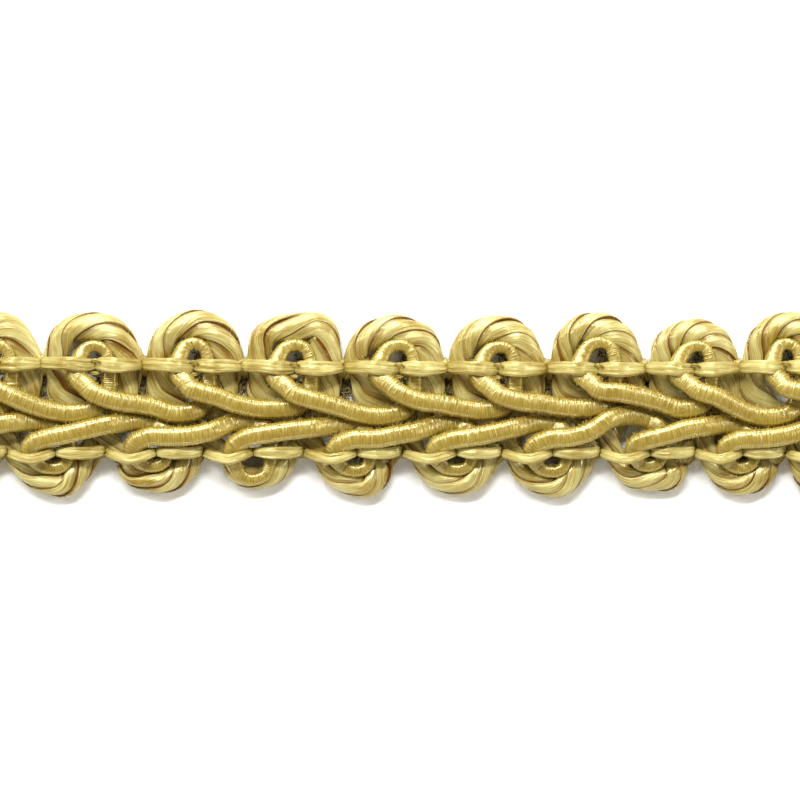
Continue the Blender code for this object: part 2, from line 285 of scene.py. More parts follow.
def spread(tree, value, low, high, outLow=0.0, outHigh=1.0):
    inputs = {"Value": value, "From Min": low, "From Max": high, "To Min": outLow, "To Max": outHigh}
    return addNode(tree, "ShaderNodeMapRange", inputs).outputs[0]


def startMaterial(name, look):
    material = bpy.data.materials.new(name)
    material.use_nodes = True
    tree = material.node_tree
    shader = tree.nodes["Principled BSDF"]
    for socket, value in look["shader"].items():
        shader.inputs[socket].default_value = value
    tangent = addNode(tree, "ShaderNodeTangent", direction_type="UV_MAP", uv_map="UVMap")
    tree.links.new(tangent.outputs[0], shader.inputs["Tangent"])
    uvMap = addNode(tree, "ShaderNodeUVMap", uv_map="UVMap")
    split = addNode(tree, "ShaderNodeSeparateXYZ", {0: uvMap.outputs[0]})
    where = addNode(tree, "ShaderNodeTexCoord").outputs["Object"]
    return material, tree, shader, split.outputs[0], split.outputs[1], where


gimpLook = {
    "light": (0.42, 0.325, 0.068),
    "dark": (0.26, 0.168, 0.016),
    # painted shade colour for the grooves between wraps
    "painted_groove_shade": (0.22, 0.125, 0.008),
    "contrast": (0.45, 1.0),   # a narrower span makes the patches of light and dark harder
    "rough": (0.26, 0.44),
    "bumpDepth": 0.007,
    "shader": {
        "Specular IOR Level": 1.0,
        "IOR": 1.9,
        "Specular Tint": (1.0, 0.97, 0.60, 1),
        "Anisotropic": 0.7,
    },
}


# Transverse wraps: u counts the wraps, v is the turn round the cord
def gimpMaterial():
    material, tree, shader, u, v, where = startMaterial("gimp_wraps", gimpLook)

    def cells(perWrap, perTurn, detail, rough=0.5):
        inputs = {0: maths(tree, "MULTIPLY", u, perWrap), 1: maths(tree, "MULTIPLY", v, perTurn)}
        return noise(tree, addNode(tree, "ShaderNodeCombineXYZ", inputs).outputs[0], 1.0, detail, rough)

    tone = cells(0.9, 2.2, 2.0)
    fibre = cells(6.0, 5.0, 3.0, 0.6)
    stroke = cells(1.3, 7.0, 1.0)
    patch = noise(tree, where, 420.0, 2.0)
    # painted shade between the wraps: the base colour goes towards the groove shade colour away from each
    # wrap's crest
    crest = maths(tree, "ABSOLUTE", maths(tree, "SINE", maths(tree, "MULTIPLY", u, math.pi)))
    share = maths(tree, "ADD", maths(tree, "MULTIPLY", tone, 0.6), maths(tree, "MULTIPLY", patch, 0.5))
    share = maths(tree, "ADD", share, maths(tree, "MULTIPLY", stroke, 0.35))
    colour = blendColour(tree, spread(tree, share, *gimpLook["contrast"]), gimpLook["dark"], gimpLook["light"])
    colour = blendColour(tree, spread(tree, crest, 0.0, 0.5), gimpLook["painted_groove_shade"], colour)
    tree.links.new(colour, shader.inputs["Base Color"])
    tree.links.new(spread(tree, stroke, 0.35, 0.65, *gimpLook["rough"]), shader.inputs["Roughness"])
    height = maths(tree, "ADD", maths(tree, "MULTIPLY", fibre, 0.5), maths(tree, "MULTIPLY", crest, 0.5))
    height = maths(tree, "ADD", height, maths(tree, "MULTIPLY", stroke, 1.2))
    depth = gimpLook["bumpDepth"] * mm
    bump = addNode(tree, "ShaderNodeBump", {"Height": height, "Strength": 0.7, "Distance": depth})
    tree.links.new(bump.outputs[0], shader.inputs["Normal"])
    return material


# Satin filaments lying along a strand: u runs along in mm, v is the turn round it
def satinMaterial(name, look):
    material, tree, shader, u, v, where = startMaterial(name, look)
    turn = maths(tree, "MULTIPLY", v, math.tau)
    around = (maths(tree, "COSINE", turn), maths(tree, "SINE", turn))

    def streaks(stretch, fineness, detail=2.0):
        inputs = {0: maths(tree, "MULTIPLY", u, stretch)}
        inputs[1] = maths(tree, "MULTIPLY", around[0], fineness)
        inputs[2] = maths(tree, "MULTIPLY", around[1], fineness)
        return noise(tree, addNode(tree, "ShaderNodeCombineXYZ", inputs).outputs[0], 1.0, detail, 0.6)

    ridges = streaks(0.16, look["fine"], 2.0)
    broad = streaks(0.35, look["broad"])
    fine = streaks(0.8, look["fine"], 3.0)
    patch = noise(tree, where, 480.0, 2.0)
    share = maths(tree, "ADD", maths(tree, "MULTIPLY", broad, 0.6), maths(tree, "MULTIPLY", fine, 0.5))
    share = maths(tree, "ADD", share, maths(tree, "MULTIPLY", patch, 0.6))
    colour = blendColour(tree, spread(tree, share, *look["contrast"]), look["dark"], look["light"])
    # painted shade: the crease attribute's weight blends the base colour towards the painted crevice shade
    # colour
    painted_shade = addNode(tree, "ShaderNodeAttribute", attribute_name="crease").outputs["Fac"]
    if look["edge_shade_only"]:
        # painted shade along the edge that dips under the next strand, and a thin painted shade line along the
        # other edge
        edges = maths(tree, "ADD", spread(tree, around[1], 0.0, 0.66), spread(tree, around[1], -0.92, -0.99))
        painted_shade = maths(tree, "MULTIPLY", edges, painted_shade)
    colour = blendColour(tree, painted_shade, colour, look["painted_crevice_shade"])
    tree.links.new(colour, shader.inputs["Base Color"])
    tree.links.new(spread(tree, fine, 0.3, 0.75, *look["rough"]), shader.inputs["Roughness"])
    depth = look["bumpDepth"] * mm
    bump = addNode(tree, "ShaderNodeBump", {"Height": ridges, "Strength": 0.8, "Distance": depth})
    tree.links.new(bump.outputs[0], shader.inputs["Normal"])
    return material


satinShine = {
    "Specular IOR Level": 1.0,
    "IOR": 1.65,
    "Specular Tint": (1.0, 0.94, 0.58, 1),
    "Anisotropic": 0.7,
    "Anisotropic Rotation": 0.25,
}

satinLook = {
    "light": (0.58, 0.52, 0.225),
    "dark": (0.30, 0.195, 0.022),
    # painted shade colour for the creases between strands
    "painted_crevice_shade": (0.15, 0.052, 0.001),
    "edge_shade_only": True,            # painted crease shade only along both edges of each strand, and not all over
    "broad": 3.2,
    "fine": 8.0,
    "contrast": (0.66, 0.98),
    "rough": (0.17, 0.34),
    "bumpDepth": 0.05,
    "shader": satinShine,
}

chainLook = {
    "light": (0.58, 0.51, 0.20),
    "dark": (0.26, 0.165, 0.016),
    # painted shade colour at the ends of the bars
    "painted_crevice_shade": (0.27, 0.165, 0.014),
    "edge_shade_only": False,
    "broad": 2.8,
    "fine": 7.0,
    "contrast": (0.66, 0.98),
    "rough": (0.17, 0.34),
    "bumpDepth": 0.04,
    "shader": satinShine,
}

gimpWraps = gimpMaterial()
satinStrands = satinMaterial("satin_strands", satinLook)
chainSatin = satinMaterial("chain_satin", chainLook)
print("materials are made")


# Gimp cords

gimpCord = {
    "halfWidth": 0.68,
    "halfHeight": 0.56,
    "parting": 0.02,
    "wrap": 0.165,             # one wrap of thread along the cord
    "flatness": 0.60,          # under 1 squares the cord's section
    "ringFlatness": 0.42,
    "wrapSpread": 0.35,        # how unlike the wraps' widths are
    "wrapDepth": 0.013,
    "wrapUneven": 0.006,
    "wrapShift": 0.007,
    "wrapRoll": 0.08,
    "lean": 0.035,
    "ringsPerWrap": 3,
    "sides": 22,
    "ripple": 0.015,           # slow swelling of the whole cord
    "tufts": 9000,
}

# x of the eye, crown, reach left and right, and the run's heights at fifths of the way to the next eye
upperLoops = [
    (-35.70, 4.13, 1.40, 1.05, 0.80, 0.35, 0.00, -0.35, -0.60, -0.45),
    (-28.80, 4.13, 1.40, 1.05, 1.05, 0.39, -0.18, -0.56, -0.67, -0.38),
    (-21.92, 4.06, 1.33, 1.05, 0.74, 0.21, 0.00, -0.25, -0.68, -0.53),
    (-14.97, 4.24, 1.20, 1.05, 0.95, 0.53, 0.02, -0.32, -0.38, -0.20),
    (-7.81, 4.13, 1.60, 1.05, 0.63, 0.18, -0.22, -0.68, -0.88, -0.66),
    (-0.55, 4.13, 1.65, 1.05, 0.75, 0.18, 0.00, -0.30, -0.49, -0.32),
    (6.50, 3.99, 1.60, 1.05, 0.56, 0.14, 0.00, -0.24, -0.34, -0.18),
    (13.50, 4.30, 1.60, 1.05, 0.91, 0.77, 0.49, 0.11, -0.36, -0.22),
    (20.34, 4.06, 1.60, 0.92, 0.88, 0.46, -0.20, -0.75, -0.93, -0.72),
    (26.53, 4.20, 1.10, 1.05, 1.08, 0.74, 0.32, -0.10, -0.50, -0.45),
    (33.40, 4.13, 1.40, 1.05, 0.80, 0.35, 0.00, -0.35, -0.60, -0.45),
]
lowerLoops = [
    (-31.68, -4.50, 1.50, 1.02, -2.31, -1.96, -1.50, -1.25, -1.25, -1.40),
    (-24.77, -4.52, 1.72, 1.02, -2.28, -2.00, -1.65, -1.37, -1.21, -1.32),
    (-17.82, -4.38, 1.44, 1.02, -2.24, -2.27, -2.17, -1.86, -1.32, -1.19),
    (-10.85, -5.29, 1.50, 1.25, -2.24, -2.01, -1.80, -1.65, -1.50, -1.45),
    (-3.54, -4.69, 1.66, 0.92, -2.42, -2.40, -2.14, -1.89, -1.44, -1.33),
    (3.49, -4.62, 1.68, 1.02, -2.42, -2.23, -1.96, -1.65, -1.40, -1.44),
    (10.19, -4.76, 1.54, 0.96, -2.38, -2.28, -1.86, -1.00, -0.80, -1.12),
    (16.88, -4.34, 1.10, 1.02, -2.45, -2.14, -1.75, -1.56, -1.44, -1.60),
    (23.40, -4.48, 1.25, 0.94, -2.46, -2.40, -2.26, -1.96, -1.42, -1.37),
    (29.93, -4.48, 1.45, 0.90, -2.31, -2.03, -1.75, -1.50, -1.30, -1.30),
    (36.80, -4.50, 1.50, 1.02, -2.31, -1.96, -1.50, -1.25, -1.25, -1.40),
]

# reach, rise, height above the surface and width of the cord round every loop
loopTurns = [
    (0.54, 0.09, 1.14, 1.00),
    (0.90, 0.28, 1.14, 0.95),
    (1.00, 0.50, 1.20, 0.82),
    (0.96, 0.72, 1.22, 0.68),
    (0.70, 0.92, 1.24, 0.63),
    (0.06, 1.00, 1.28, 0.62),
    (-0.48, 0.93, 1.36, 0.70),
    (-0.78, 0.72, 1.55, 0.84),
    (-0.96, 0.44, 1.84, 0.94),
    (-0.82, 0.21, 2.10, 0.98),
    (-0.40, 0.07, 2.32, 1.00),
]
upperLift = [0, 0, 0, 0, 0, 0, 0, 0, 0.03, 0.09, 0.08]
upperRunZ = [2.46, 2.48, 2.20, 1.92, 1.74, 1.52]
lowerRunZ = [2.44, 2.46, 2.36, 2.12, 1.35, 0.95]


def gimpRows(loops, runZ, lifts, parting, firstRow, lastRow):
    wide, tall = gimpCord["halfWidth"], gimpCord["halfHeight"]
    rows = []
    for here, after in zip(loops, loops[1:]):
        heights = here[4:]
        for k, (y, z) in enumerate(zip(heights, runZ)):
            x = here[0] + (after[0] - here[0]) * k / (len(runZ) - 1)
            rows.append((x, y + parting, z, wide, tall))
        for (reach, rise, z, share), lift in zip(loopTurns, lifts):
            rise += lift
            far, base = (after[3], heights[-1]) if reach > 0 else (after[2], after[4])
            y = base + parting + (after[1] - base - parting) * rise
            rows.append((after[0] + reach * far, y, z, share * wide, (0.3 + 0.7 * share) * tall))
    lastRun = (len(runZ) + len(loopTurns)) * (len(loops) - 2)
    return rows[firstRow:lastRun + lastRow]


def addGimp(name, loops, runZ, lifts, parting, firstRow, lastRow, seed):
    rng = np.random.default_rng(seed)
    route = layRoute(gimpRows(loops, runZ, lifts, parting, firstRow, lastRow))
    wraps = int(route[0][-1] / gimpCord["wrap"])
    perWrap, sides = gimpCord["ringsPerWrap"], gimpCord["sides"]
    widths = 1 + gimpCord["wrapSpread"] * rng.uniform(-1, 1, wraps)
    ends = np.concatenate([[0], np.cumsum(widths)]) / widths.sum() * route[0][-1]
    count = np.arange(wraps * perWrap + 1)
    run = np.interp(count / perWrap, np.arange(wraps + 1), ends)
    spot = alongRoute(route, run)
    heading, side, up = routeAxes(route, run)
    swell = np.abs(np.sin(np.pi * count / perWrap)) ** 0.6
    wrap = np.minimum(count // perWrap, wraps)
    uneven = np.append(rng.normal(0, gimpCord["wrapUneven"], wraps), 0)[wrap]
    shift = swell[:, None] * rng.normal(0, gimpCord["wrapShift"], (wraps + 1, 2))[wrap]
    roll = rng.normal(0, gimpCord["wrapRoll"], wraps + 1)[wrap] * swell
    relief = swell * (gimpCord["wrapDepth"] + uneven) - gimpCord["wrapDepth"] * 0.6
    relief += gimpCord["ripple"] * wander(rng, run, 1.6)
    leanAcross = gimpCord["lean"] * wander(rng, run, 0.5)
    leanUp = gimpCord["lean"] * wander(rng, run, 0.5)

    full = np.clip((spot[:, 3] / gimpCord["halfWidth"] - 0.7) / 0.25, 0, 1)
    flatness = gimpCord["ringFlatness"] + (gimpCord["flatness"] - gimpCord["ringFlatness"]) * full

    def place(ring, turn):
        angle = math.tau * turn - math.pi / 2
        across, above = squared(np.cos(angle), 0.85), squared(np.sin(angle), flatness[ring])
        across, above = across - roll[ring] * above, above + roll[ring] * across
        wide = (spot[ring, 3] + relief[ring]) * across + shift[ring, 0]
        tall = (spot[ring, 4] + relief[ring]) * above + shift[ring, 1]
        slip = leanAcross[ring] * across + leanUp[ring] * above
        corner = spot[ring, :3] + side[ring] * wide[:, None] + up[ring] * tall[:, None]
        return corner + heading[ring] * slip[:, None]

    # where the fuzz stands off the wraps, and which way it points
    rings = rng.integers(0, len(count), gimpCord["tufts"])
    turns = rng.uniform(0, 1, gimpCord["tufts"])
    foot = place(rings, turns)
    away = foot - spot[rings, :3]
    away /= np.linalg.norm(away, axis=1, keepdims=True)
    tufts = list(zip(foot, away + heading[rings] * rng.normal(0, 0.35, (gimpCord["tufts"], 1))))

    bm = bmesh.new()
    rollTube(bm, len(count) - 1, sides, place, wraps)
    return finishPiece(name, bm, gimpWraps, "gimp_cord_" + name.split("_")[1]), tufts


parting = gimpCord["parting"]
gimpUpper, upperTufts = addGimp("gimp_upper", upperLoops, upperRunZ, upperLift, parting, 3, 5, 11)
gimpLower, lowerTufts = addGimp("gimp_lower", lowerLoops, lowerRunZ, [0] * len(loopTurns), -parting, 0, 3, 12)


# Satin scallop cord

satinCord = {
    "strands": 4,
    "lay": 11.5,               # one turn of the strands between two scallops
    "reach": 0.95,             # of the half width, to the outside of a strand
    "centre": 0.66,
    "tilt": 0.21,              # a strand's inner edge lies on the next strand
    "thick": 0.23,
    "spread": 56,              # degrees of turn from a strand's middle to its edge
    "bundles": 0.020,          # depth of the ridges of filaments, in shares of the half width
    "filaments": 0.014,
    "ringStep": 0.22,
    "sides": 40,
    # width in pixels from the left foot to the right foot
    "widths": [(0.0, 25), (0.35, 27), (0.55, 29), (0.72, 31), (0.85, 32), (1.0, 33)],
    "lowerWidths": [(0.0, 21), (0.5, 23), (0.8, 27), (1.0, 28)],
    "crownZ": 0.80,
    "crownThick": 0.76,
    "footZ": 0.84,
    "footThick": 0.36,
    "outset": 0.16,            # the centre line lies this much nearer to the outer edge than half the width
    "stations": 13,
    "innerBend": 0.88,         # of a turn's radius, the furthest that a strand goes towards its centre
    "layUneven": 5,            # degrees
    "creaseDepth": 0.9,
    "creaseUneven": 0.5,
    "creaseInside": 0.5,       # deeper by this on the inside of a turn, and shallower on its outside
    "swelling": 0.05,
}

# Outer edges of the scallops from the left foot to the right foot, in pixels, then where the first crease
# between two strands tops the cord and how far on the next one does, in shares of the arch
upperArches = [
    ([
        (-58, 357), (-55, 345), (-47, 333), (-36, 323), (-22, 315), (-6, 311), (10, 315), (20, 321),
        (28, 329), (33, 338), (38, 350), (41, 359),
    ], 0.17, 0.34),
    ([
        (45, 359), (46, 350), (48, 338), (55, 326), (64, 319), (76, 315.5), (90, 313), (105, 314),
        (118, 319), (128, 328), (135, 341), (140, 350), (142, 359),
    ], 0.18, 0.34),
    ([
        (148, 359), (149, 346), (153, 332), (161, 324), (171, 318.5), (180, 313.5), (190, 310.3),
        (200, 310.3), (211, 313), (221, 319), (230, 328), (238, 339), (241, 350), (242, 359),
    ], 0.18, 0.36),
    ([
        (248.5, 359), (248.6, 346), (251, 333), (258, 325), (269, 319), (282, 317.7), (295, 316),
        (303, 312.5), (311, 311), (321, 313), (331, 319.5), (337, 329.5), (340, 342), (341, 359),
    ], 0.20, 0.36),
    ([
        (346, 359), (347.4, 344), (354, 336), (363, 328), (371, 321.5), (380, 317.5), (390, 315),
        (400, 315.4), (411, 319.5), (421, 323.5), (430, 328.5), (436, 335), (440, 344), (442, 359),
    ], 0.04, 0.285),
    ([
        (450, 359), (451.5, 346), (457, 336), (466, 327), (474.5, 321), (483, 317.7), (493, 316.4),
        (503, 317.3), (513, 319), (522, 322.5), (530, 328.5), (535.5, 337), (539, 346), (543, 359),
    ], 0.10, 0.28),
    ([
        (553, 359), (553.8, 348), (555.5, 338), (560, 330), (567, 323), (577, 317.5), (588, 313.5),
        (599, 312), (609, 315), (619, 320), (628, 327), (635, 335.5), (639, 345), (641, 359),
    ], 0.20, 0.23),
    ([
        (652, 359), (653.2, 347), (657, 337), (664.5, 330), (673, 324.8), (681, 321), (691, 319.9),
        (703, 321), (712, 323), (721, 328), (728.5, 335.5), (733.5, 345), (736.5, 359),
    ], 0.20, 0.22),
    ([
        (745, 359), (747.5, 345), (752, 333), (758.5, 325), (767, 319.5), (776, 314.5), (786, 312),
        (799, 313.5), (812, 318), (824, 327), (832, 340), (836, 359),
    ], 0.17, 0.27),
]
lowerArches = [
    ([(-61, 490.5), (-45, 494), (-28, 491.5), (-14, 483), (-5, 472), (-1, 461)], 0.30, 0.38),
    ([
        (7.5, 461), (14, 470), (20.5, 479.5), (28.5, 485.5), (38, 489), (48, 493.5), (57.5, 496.3),
        (67, 495.8), (76, 490), (84.5, 480), (92, 472), (97.5, 461),
    ], 0.23, 0.31),
    ([
        (116.5, 461), (119.5, 474), (126, 483), (136, 487), (147.5, 489.7), (158, 492.2), (169, 491.7),
        (179.5, 487.2), (188.5, 480.8), (196, 472), (200.5, 461),
    ], 0.26, 0.39),
    ([
        (222, 461), (224, 470), (231, 480), (242, 486), (255, 488), (268, 487), (279, 482), (288, 474),
        (294, 465), (297, 458),
    ], 0.30, 0.38),
    ([
        (315.5, 461), (319.5, 472), (325.5, 481.5), (334.5, 488.3), (346, 492.3), (357, 495.8),
        (367, 497.4), (376, 494.7), (383.5, 487.5), (389, 478), (393, 461),
    ], 0.40, 0.42),
    ([
        (412, 461), (417, 470), (422.5, 479.5), (430, 486), (440, 490.8), (451, 493), (462, 492.8),
        (472.5, 492), (481, 488), (488.5, 479.5), (495, 471.5), (500, 461),
    ], 0.42, 0.44),
    ([
        (509, 461), (512.5, 475), (519, 482), (527.5, 488.5), (539, 493.8), (551, 497.4), (561, 497.8),
        (570.5, 493.6), (579, 484.5), (588, 473.5), (595, 461),
    ], 0.33, 0.36),
    ([
        (609.5, 461), (614, 472.5), (620.5, 481), (630, 487.5), (642, 489.5), (654, 489.5), (664.5, 489.7),
        (673.5, 488), (681, 482.8), (686, 475), (689, 461),
    ], 0.30, 0.36),
    ([
        (702.5, 461), (706.5, 471.5), (713, 479.7), (722, 488), (734, 492.8), (746.5, 493.6), (758, 490.8),
        (768, 483.3), (776, 474.5), (780, 461),
    ], 0.28, 0.36),
    ([(790, 459), (793.6, 471.8), (800, 483.3), (812, 491), (831, 494), (849, 490)], 0.30, 0.38),
]

# The legs between the two rows of scallops, from the upper eye's x: they cross, flattened
risingLeg = [
    (0.55, -1.95, 0.36, 1.05, 0.27),
    (1.35, -0.45, 0.44, 1.35, 0.32),
    (1.95, 0.80, 0.52, 1.26, 0.32),
    (2.08, 1.75, 0.60, 1.26, 0.33),
]
fallingLeg = [
    (-2.44, 1.80, 0.60, 1.08, 0.38),
    (-2.26, 0.75, 0.56, 1.20, 0.36),
    (-1.35, -0.35, 0.50, 1.20, 0.30),
    (-0.30, -1.15, 0.60, 1.05, 0.26),
    (0.35, -1.75, 1.04, 0.80, 0.24),
]


# Rows of the centre line of one scallop, left foot to right foot, worked in from its outer edge
def archRows(arch, upper, first, gap):
    route = layRoute([(*fromPhoto(*point), 0.0) for point in arch])
    length = route[0][-1]
    stations = np.linspace(0, length, satinCord["stations"])
    spot = alongRoute(route, stations)
    heading, side, up = routeAxes(route, stations, 0.5)
    share = stations / length
    widths = satinCord["widths" if upper else "lowerWidths"]
    half = np.interp(share, *zip(*widths)) * pixel / 2
    inward = side * (-1 if upper else 1)
    centre = spot + inward * (half[:, None] - satinCord["outset"])
    for _ in range(2):
        centre[1:-1] = (centre[:-2] + 2 * centre[1:-1] + centre[2:]) / 4
    out = np.clip(np.sin(math.pi * share) * 1.5, 0, 1)
    if len(arch) < 8:          # the scallops that the cut ends go through
        out = np.clip(1.3 - abs(share - 0.35), 0, 1)
    z = satinCord["footZ"] + (satinCord["crownZ"] - satinCord["footZ"]) * out
    thick = satinCord["footThick"] + (satinCord["crownThick"] - satinCord["footThick"]) * out
    phase = 90 + 360 / satinCord["strands"] * (share - first) / gap * (1 if upper else -1)
    reach = satinCord["reach"]
    rows = np.stack([centre[:, 0], centre[:, 1], z, half / reach, thick / reach * 0.95, phase], axis=-1)
    return rows[::-1] if upper else rows


# Adds a leg and the scallop after it: the strands turn on with the lay, and meet the next scallop's creases
def joinOn(rows, leg, arch):
    leg = np.array([(*row, 0.0) for row in leg])
    path = np.vstack([rows[-1:], leg, arch[:1]])
    run = np.concatenate([[0], np.cumsum(np.linalg.norm(np.diff(path[:, :3], axis=0), axis=1))])
    wanted = rows[-1, 5] - 360 * run[-1] / satinCord["lay"]
    arch = arch.copy()
    step = 360 / satinCord["strands"]
    arch[:, 5] += step * np.rint((wanted - arch[0, 5]) / step)
    leg[:, 5] = np.interp(run[1:-1], [0, run[-1]], [rows[-1, 5], arch[0, 5]])
    return np.vstack([rows, leg, arch])


def cordRows():
    rows = archRows(lowerArches[0][0], False, *lowerArches[0][1:])
    for k, (edge, first, gap) in enumerate(upperArches):
        eye = upperLoops[k + 1][0]
        rising = [(eye + row[0], *row[1:]) for row in risingLeg]
        falling = [(eye + row[0], *row[1:]) for row in fallingLeg]
        rows = joinOn(rows, rising, archRows(edge, True, first, gap))
        after = lowerArches[k + 1]
        rows = joinOn(rows, falling, archRows(after[0], False, *after[1:]))
    return rows


def addStrand(name, route, number, seed):
    rng = np.random.default_rng(seed)
    sides = satinCord["sides"]
    rings = int(route[0][-1] / satinCord["ringStep"])
    run = np.linspace(0, route[0][-1], rings + 1)
    spot = alongRoute(route, run)
    heading, side, up = routeAxes(route, run, 0.12)
    bend = np.gradient(np.unwrap(np.arctan2(heading[:, 1], heading[:, 0])), run)
    bend = np.convolve(bend, np.ones(5) / 5, "same")
    reach = satinCord["innerBend"] / np.maximum(np.abs(bend), 0.05)
    middle = spot[:, 5] + satinCord["spread"] + 360 / satinCord["strands"] * number
    middle += satinCord["layUneven"] * wander(rng, run, 4.0)
    inside = np.cos(np.radians(middle + 50)) * np.tanh(2 * bend)
    crease = satinCord["creaseDepth"] + satinCord["creaseUneven"] * wander(rng, run, 3.4)
    crease = np.clip(crease + satinCord["creaseInside"] * inside, 0, 1.5)
    tilt = satinCord["tilt"] * np.clip(1.2 * spot[:, 4] / spot[:, 3], 0.3, 1.0)
    tilt = tilt * (0.1 + 0.9 * np.minimum(crease, 1.1))
    bundles = drawWaves(rng, (4, 5, 7), run, 1.6, 4.0)
    filaments = drawWaves(rng, (11, 13, 14), run, 2.0, 2.5)
    fuller = 1 + satinCord["swelling"] * wander(rng, run, 3.0)

    def place(ring, turn):
        angle = math.tau * turn
        across, outward = np.sin(angle), np.cos(angle)
        ridge = sumWaves(bundles, angle, ring) / 2
        fine = sumWaves(filaments, angle, ring) / 2
        radius = satinCord["centre"] - tilt[ring] * across + satinCord["thick"] * squared(outward, 0.8)
        radius = radius * fuller[ring] + satinCord["bundles"] * ridge + satinCord["filaments"] * fine
        around = np.radians(middle[ring] + satinCord["spread"] * across)
        level = radius * np.cos(around) * spot[ring, 3]
        level = np.where(bend[ring] * level > 0, np.clip(level, -reach[ring], reach[ring]), level)
        rise = radius * np.sin(around) * spot[ring, 4]
        return spot[ring, :3] + side[ring] * level[:, None] + up[ring] * rise[:, None]

    bm = bmesh.new()
    rollTube(bm, rings, sides, place, route[0][-1], crease)
    return finishPiece(name, bm, satinStrands, "scallop_cord")


cordRoute = layRoute(cordRows(), 8)
print("the satin cord is", round(cordRoute[0][-1], 1), "mm long")
strands = []
for number in range(satinCord["strands"]):
    strands.append(addStrand(f"satin_strand_{number + 1}", cordRoute, number, 31 + number))


# Chain stitches along both edges

chainThread = {
    "halfHeight": 0.15,
    "backHalfWidth": 0.36,
    "backHalfHeight": 0.15,
    "backHump": 0.18,
    "backHumpReach": 7,        # pixels to either side of a pinch
    "backZ": 0.16,
    "filaments": 0.10,         # depth of the ridges, in shares of the width
    "wobble": 0.02,
    "ringStep": 0.09,
    "backRingStep": 0.18,
    "sides": 34,
    "cutHeight": 1.9,          # the first and last bars are cut where they come up to this
    "knotShadeReach": 0.35,         # how far from a bar's end the painted shade at the knot fades
}

# Pinches along each line, gap and eye in turn, in pixels, starting and ending at the cut ends
leftCut = -55.3
upperPinches = [
    leftCut, -4, 40.5, 95.5, 142, 194, 241.7, 294.3, 344, 399, 447, 498, 546.8, 598, 645.5, 694.3, 739.3, 785,
    843.1,
]
lowerPinches = [
    -45, 7, 55, 105, 156, 203, 252.8, 303.5, 356.6, 402, 456, 501.5, 552, 600, 649.7, 695, 742, 785, 835, 873,
]
upperLineY = [(-55, 362.5), (45, 363), (200, 365), (300, 367), (700, 368.5), (785, 366), (843, 366)]
lowerLineY = [(-55, 453), (873, 453)]

# Share of the way from pinch to pinch, height, half width and step down across the trim in pixels
intoEye = [
    (0.020, 1.05, 0.28, 0), (0.035, 1.45, 0.35, 0), (0.08, 1.76, 0.41, 0), (0.20, 2.14, 0.45, 0),
    (0.38, 2.62, 0.45, 0), (0.52, 2.84, 0.47, 0.3), (0.68, 2.72, 0.51, 0.9), (0.82, 2.42, 0.50, 1.4),
    (0.93, 2.05, 0.42, 1.2), (0.975, 1.70, 0.35, 1.0), (0.985, 1.30, 0.28, 1.0),
]
outOfEye = [
    (0.015, 1.30, 0.29, 0.4), (0.03, 1.72, 0.37, 0.6), (0.08, 2.04, 0.44, 0.8), (0.20, 2.36, 0.49, 1.0),
    (0.36, 2.54, 0.52, 1.4), (0.50, 2.48, 0.52, 1.4), (0.66, 2.24, 0.49, 1.0), (0.82, 1.92, 0.44, 0.6),
    (0.93, 1.64, 0.38, 0.4), (0.968, 1.40, 0.33, 0), (0.98, 1.05, 0.28, 0),
]
lowerIntoEye = [
    (0.035, 1.05, 0.28, 0), (0.05, 1.50, 0.32, 0), (0.10, 1.80, 0.34, 1), (0.22, 2.20, 0.34, 3),
    (0.38, 2.60, 0.33, 5), (0.52, 2.78, 0.36, 6), (0.68, 2.70, 0.36, 4.5), (0.82, 2.46, 0.34, 2),
    (0.92, 2.20, 0.32, 0), (0.965, 1.90, 0.30, -1), (0.98, 1.30, 0.27, -1),
]
lowerOutOfEye = [
    (0.02, 1.30, 0.28, -1), (0.035, 1.85, 0.30, -1), (0.09, 2.10, 0.34, -1), (0.20, 2.25, 0.38, -0.5),
    (0.34, 2.33, 0.42, 0), (0.46, 2.31, 0.42, 0), (0.66, 2.10, 0.42, 0), (0.82, 1.85, 0.41, -1),
    (0.92, 1.70, 0.38, -2), (0.955, 1.45, 0.34, -2), (0.97, 1.05, 0.28, -2),
]


def barRoutes(pinches, lineY, into, out, firstIsGap):
    routes = []
    for k, (start, end) in enumerate(zip(pinches, pinches[1:])):
        shape = into if (k % 2 == 0) == firstIsGap else out
        rows = []
        for share, z, half, down in shape:
            x = start + (end - start) * share
            y = np.interp(x, *zip(*lineY)) + down
            rows.append((*fromPhoto(x, y), z, half, chainThread["halfHeight"]))
        high = [n for n, row in enumerate(rows) if row[2] > chainThread["cutHeight"]]
        rows = rows[high[0] if k == 0 else 0:]
        if k == len(pinches) - 2:
            rows = rows[:high[-1] + 1]
        routes.append(layRoute(rows, 8))
    return routes


